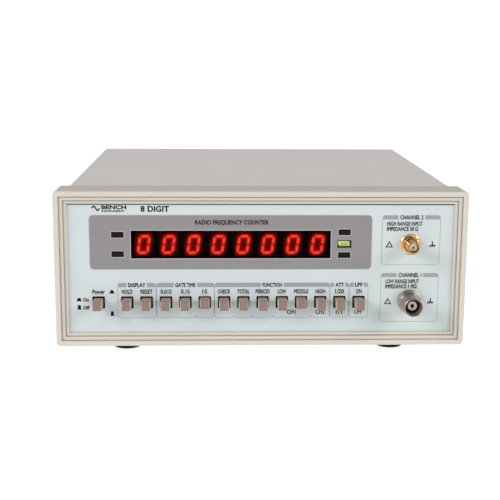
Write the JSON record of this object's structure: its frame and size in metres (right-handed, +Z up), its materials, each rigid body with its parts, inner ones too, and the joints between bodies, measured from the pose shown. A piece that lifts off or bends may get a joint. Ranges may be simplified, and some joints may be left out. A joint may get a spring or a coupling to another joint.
{
  "type": "frequency counter",
  "caption": "Bench frequency counter: shallow steel case, ridged plastic bezel, red digit display, a row of push buttons, two coaxial inputs and a mains inlet.",
  "frame": {"origin": "centre of the footprint on the surface that the feet stand on: X middle of the case, Y middle of the overall depth from the tip of the channel 1 connector to the rear face of the mains inlet", "axes": "+Z up, front panel faces -Y, +X to the right as seen from the front"},
  "size_m": [0.212, 0.2238, 0.09],
  "materials": {
    "bezel_plastic": "moulded ABS, ivory, fine satin grain",
    "panel_print": "aluminium plate faced with a matt printed film, pale blue-white with grey zones",
    "filter_acrylic": "very dark red acrylic sheet, polished",
    "lamp_dark": "unlit rectangular LED lens, smoky",
    "lamp_lit": "lit rectangular LED lens, yellow-green",
    "digit_body": "dark grey display body, red segments glowing",
    "button_plastic": "moulded, mauve taupe, satin",
    "cover_paint": "steel sheet, warm grey powder paint, very fine texture",
    "foot_rubber": "black rubber, matt",
    "nickel": "nickel-plated brass, slightly dull",
    "gold": "gold-plated brass",
    "white_insulator": "white PTFE, waxy",
    "plated_steel": "tinned steel",
    "screw_steel": "zinc-plated steel, turned",
    "circuit_board": "glass-epoxy laminate, green solder mask",
    "black_plastic": "black nylon, satin",
    "lamination_steel": "varnished laminations",
    "coil_copper": "enamelled copper under amber tape"
  },
  "bodies": {
    "chassis": {"front_bezel": "bezel_plastic", "front_panel": "panel_print", "display_filter": "filter_acrylic", "lamp_left_upper": "lamp_dark", "lamp_left_lower": "lamp_dark", "lamp_right_upper": "lamp_dark", "lamp_right_middle": "lamp_lit", "lamp_right_lower": "lamp_dark", "digit_1": "digit_body", "digit_2": "digit_body", "digit_3": "digit_body", "digit_4": "digit_body", "digit_5": "digit_body", "digit_6": "digit_body", "digit_7": "digit_body", "digit_8": "digit_body", "switch_bank": "plated_steel", "power_switch": "black_plastic", "display_board": "circuit_board", "main_board": "circuit_board", "bnc_shell": "nickel", "bnc_nut": "nickel", "bnc_insulator": "white_insulator", "bnc_contact": "gold", "sma_shell": "gold", "sma_nut": "gold", "sma_insulator": "white_insulator", "sma_contact": "gold", "crystal_oscillator": "plated_steel", "prescaler_can": "plated_steel", "filter_capacitor": "black_plastic", "transformer_core": "lamination_steel", "transformer_coil": "coil_copper", "top_cover": "cover_paint", "bottom_tray": "cover_paint", "rear_panel": "cover_paint", "foot_front_left": "foot_rubber", "foot_rear_left": "foot_rubber", "foot_front_right": "foot_rubber", "foot_rear_right": "foot_rubber", "cover_screw_front_left": "screw_steel", "cover_screw_rear_left": "screw_steel", "cover_screw_front_right": "screw_steel", "cover_screw_rear_right": "screw_steel", "mains_inlet": "black_plastic"},
    "button_power": {"button_power": "button_plastic"},
    "button_hold": {"button_hold": "button_plastic"},
    "button_reset": {"button_reset": "button_plastic"},
    "button_gate_10ms": {"button_gate_10ms": "button_plastic"},
    "button_gate_100ms": {"button_gate_100ms": "button_plastic"},
    "button_gate_1s": {"button_gate_1s": "button_plastic"},
    "button_check": {"button_check": "button_plastic"},
    "button_total": {"button_total": "button_plastic"},
    "button_period": {"button_period": "button_plastic"},
    "button_low_band": {"button_low_band": "button_plastic"},
    "button_mid_band": {"button_mid_band": "button_plastic"},
    "button_high_band": {"button_high_band": "button_plastic"},
    "button_attenuator": {"button_attenuator": "button_plastic"},
    "button_low_pass": {"button_low_pass": "button_plastic"},
    "fuse_drawer": {"fuse_drawer": "black_plastic"}
  },
  "joints": [
    {"name": "power_press", "type": "slide", "parent": "chassis", "child": "button_power", "axis": [0, 1, 0], "range_m": [0, 0.0045], "stiffness_N_per_m": 350},
    {"name": "hold_press", "type": "slide", "parent": "chassis", "child": "button_hold", "axis": [0, 1, 0], "range_m": [0, 0.0045], "stiffness_N_per_m": 350},
    {"name": "reset_press", "type": "slide", "parent": "chassis", "child": "button_reset", "axis": [0, 1, 0], "range_m": [0, 0.0045], "stiffness_N_per_m": 350},
    {"name": "gate_10ms_press", "type": "slide", "parent": "chassis", "child": "button_gate_10ms", "axis": [0, 1, 0], "range_m": [0, 0.0045], "stiffness_N_per_m": 350},
    {"name": "gate_100ms_press", "type": "slide", "parent": "chassis", "child": "button_gate_100ms", "axis": [0, 1, 0], "range_m": [0, 0.0045], "stiffness_N_per_m": 350},
    {"name": "gate_1s_press", "type": "slide", "parent": "chassis", "child": "button_gate_1s", "axis": [0, 1, 0], "range_m": [-0.00375, 0.00075], "stiffness_N_per_m": 350},
    {"name": "check_press", "type": "slide", "parent": "chassis", "child": "button_check", "axis": [0, 1, 0], "range_m": [0, 0.0045], "stiffness_N_per_m": 350},
    {"name": "total_press", "type": "slide", "parent": "chassis", "child": "button_total", "axis": [0, 1, 0], "range_m": [0, 0.0045], "stiffness_N_per_m": 350},
    {"name": "period_press", "type": "slide", "parent": "chassis", "child": "button_period", "axis": [0, 1, 0], "range_m": [0, 0.0045], "stiffness_N_per_m": 350},
    {"name": "low_band_press", "type": "slide", "parent": "chassis", "child": "button_low_band", "axis": [0, 1, 0], "range_m": [0, 0.0045], "stiffness_N_per_m": 350},
    {"name": "mid_band_press", "type": "slide", "parent": "chassis", "child": "button_mid_band", "axis": [0, 1, 0], "range_m": [-0.00375, 0.00075], "stiffness_N_per_m": 350},
    {"name": "high_band_press", "type": "slide", "parent": "chassis", "child": "button_high_band", "axis": [0, 1, 0], "range_m": [0, 0.0045], "stiffness_N_per_m": 350},
    {"name": "attenuator_press", "type": "slide", "parent": "chassis", "child": "button_attenuator", "axis": [0, 1, 0], "range_m": [0, 0.0045], "stiffness_N_per_m": 350},
    {"name": "low_pass_press", "type": "slide", "parent": "chassis", "child": "button_low_pass", "axis": [0, 1, 0], "range_m": [0, 0.0045], "stiffness_N_per_m": 350},
    {"name": "fuse_drawer_slide", "type": "slide", "parent": "chassis", "child": "fuse_drawer", "axis": [0, 1, 0], "range_m": [0, 0.022]}
  ]
}
